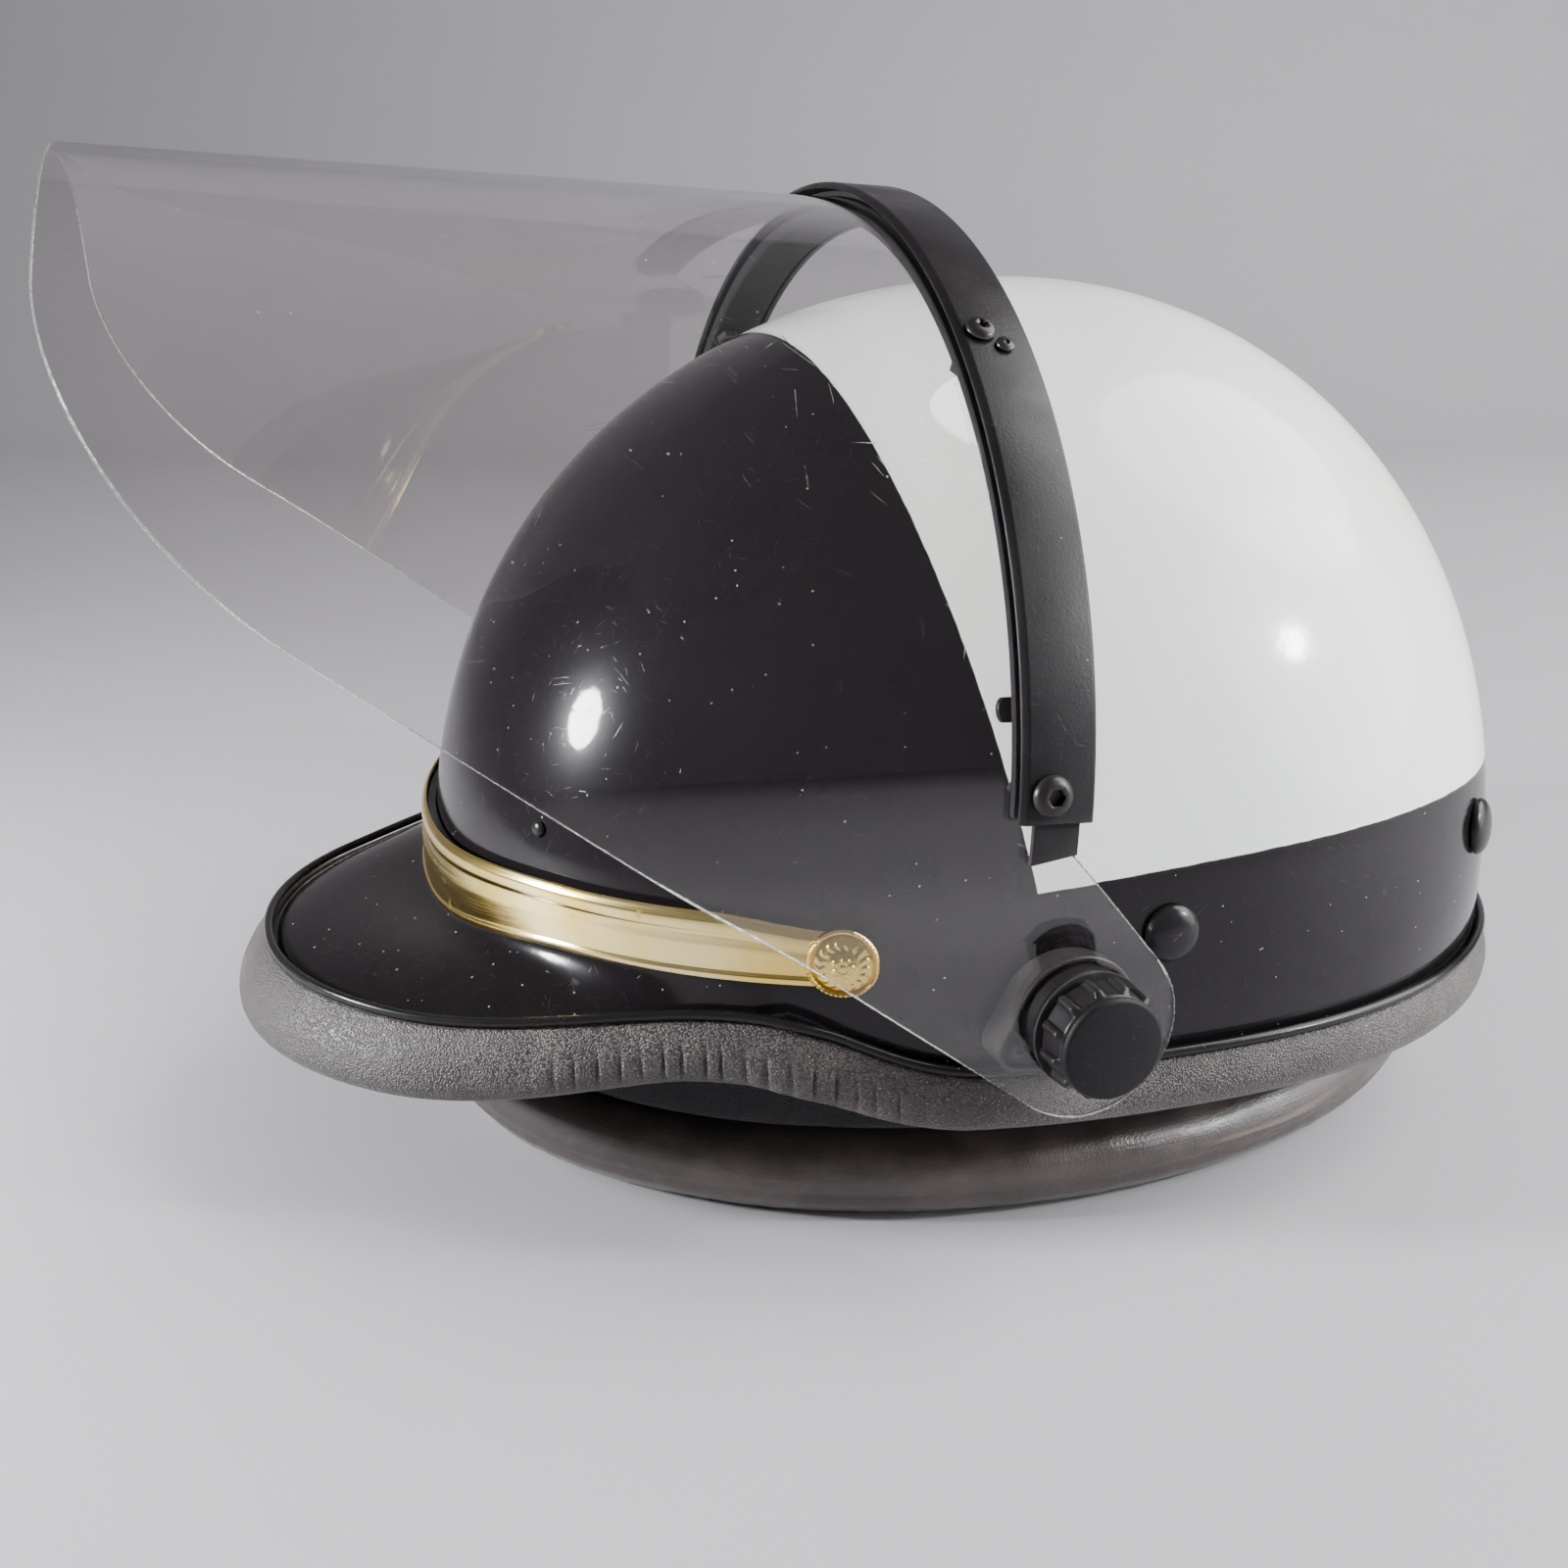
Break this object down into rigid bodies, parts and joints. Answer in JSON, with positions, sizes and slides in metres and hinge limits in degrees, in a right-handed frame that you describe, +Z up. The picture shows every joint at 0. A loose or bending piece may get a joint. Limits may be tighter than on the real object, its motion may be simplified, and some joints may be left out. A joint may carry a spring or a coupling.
{
  "type": "firefighter helmet",
  "caption": "Half-shell peaked duty helmet in two-tone gloss paint, with a clear flip-up face shield on side pivots, a padded lining, a neck roll and a chin harness.",
  "frame": {"origin": "on the ground under the middle of the whole object, as it stands on its neck roll with the shield raised", "axes": "-Y to the wearer's front, +X to the wearer's left, +Z up"},
  "size_m": [0.2714, 0.347, 0.2275],
  "materials": {
    "shell_paint": "gloss white enamel, with the front and the lower band masked in gloss black",
    "peak_paint": "gloss black enamel with fine circular polishing marks",
    "trim_vinyl": "grained matt vinyl channel with crease marks where it bends",
    "piping_vinyl": "smooth satin bead",
    "gold": "polished gold plate",
    "rivet_lacquer": "black lacquer",
    "bead_foam": "moulded bead foam",
    "pad_cloth": "brushed knitted cloth over foam",
    "sweat_leather": "smooth sweatband leather",
    "roll_vinyl": "satin padded vinyl with soft creases",
    "webbing": "woven nylon webbing",
    "clear_sheet": "clear polycarbonate with polished edges and light dust",
    "black_plastic": "satin moulded nylon",
    "cap_plastic": "matt moulded cap",
    "seal_rubber": "matt rubber",
    "black_steel": "blackened steel",
    "zinc_steel": "zinc-plated steel"
  },
  "bodies": {
    "helmet": {"shell": "shell_paint", "peak": "peak_paint", "edge_trim": "trim_vinyl", "edge_piping": "piping_vinyl", "cap_band": "gold", "cap_button_left": "gold", "cap_button_right": "gold", "peak_rivet_left": "rivet_lacquer", "peak_rivet_right": "rivet_lacquer", "strap_rivet_front_left": "rivet_lacquer", "strap_rivet_front_right": "rivet_lacquer", "strap_rivet_rear_left": "rivet_lacquer", "strap_rivet_rear_right": "rivet_lacquer", "impact_liner": "bead_foam", "crown_pad": "pad_cloth", "sweatband": "sweat_leather", "lining_band": "pad_cloth", "neck_roll": "roll_vinyl", "chin_strap_left": "webbing", "chin_strap_right": "webbing", "nape_strap_left": "webbing", "nape_strap_right": "webbing", "buckle_socket": "black_plastic", "buckle_plug": "black_plastic", "pivot_base_left": "black_plastic", "pivot_base_right": "black_plastic", "base_screw_left": "black_steel", "base_screw_right": "black_steel", "pivot_bolt_left": "zinc_steel", "pivot_bolt_right": "zinc_steel"},
    "shield": {"face_shield": "clear_sheet", "brow_strip": "black_plastic", "brow_gasket": "seal_rubber", "brow_seal": "seal_rubber", "strip_bolt_left": "black_steel", "strip_bolt_right": "black_steel", "strip_nut_left": "black_steel", "strip_nut_right": "black_steel", "strip_screw_left": "black_steel", "strip_screw_right": "black_steel", "screw_nut_left": "black_steel", "screw_nut_right": "black_steel", "strip_rivet_left": "black_steel", "strip_rivet_right": "black_steel", "seal_tab_left": "black_plastic", "seal_tab_right": "black_plastic", "ear_washer_left": "seal_rubber", "ear_washer_right": "seal_rubber"},
    "knob_left": {"pivot_knob_left": "black_plastic", "knob_cap_left": "cap_plastic"},
    "knob_right": {"pivot_knob_right": "black_plastic", "knob_cap_right": "cap_plastic"}
  },
  "joints": [
    {"name": "shield_pivot", "type": "hinge", "parent": "helmet", "child": "shield", "pos_m": [0, 0.00747, 0.057], "axis": [1, 0, 0], "range_deg": [0, 75]},
    {"name": "knob_left_turn", "type": "hinge", "parent": "helmet", "child": "knob_left", "pos_m": [0.128, 0.00747, 0.057], "axis": [1, 0, 0], "range_deg": [0, 360]},
    {"name": "knob_right_turn", "type": "hinge", "parent": "helmet", "child": "knob_right", "pos_m": [-0.128, 0.00747, 0.057], "axis": [-1, 0, 0], "range_deg": [0, 360]}
  ]
}
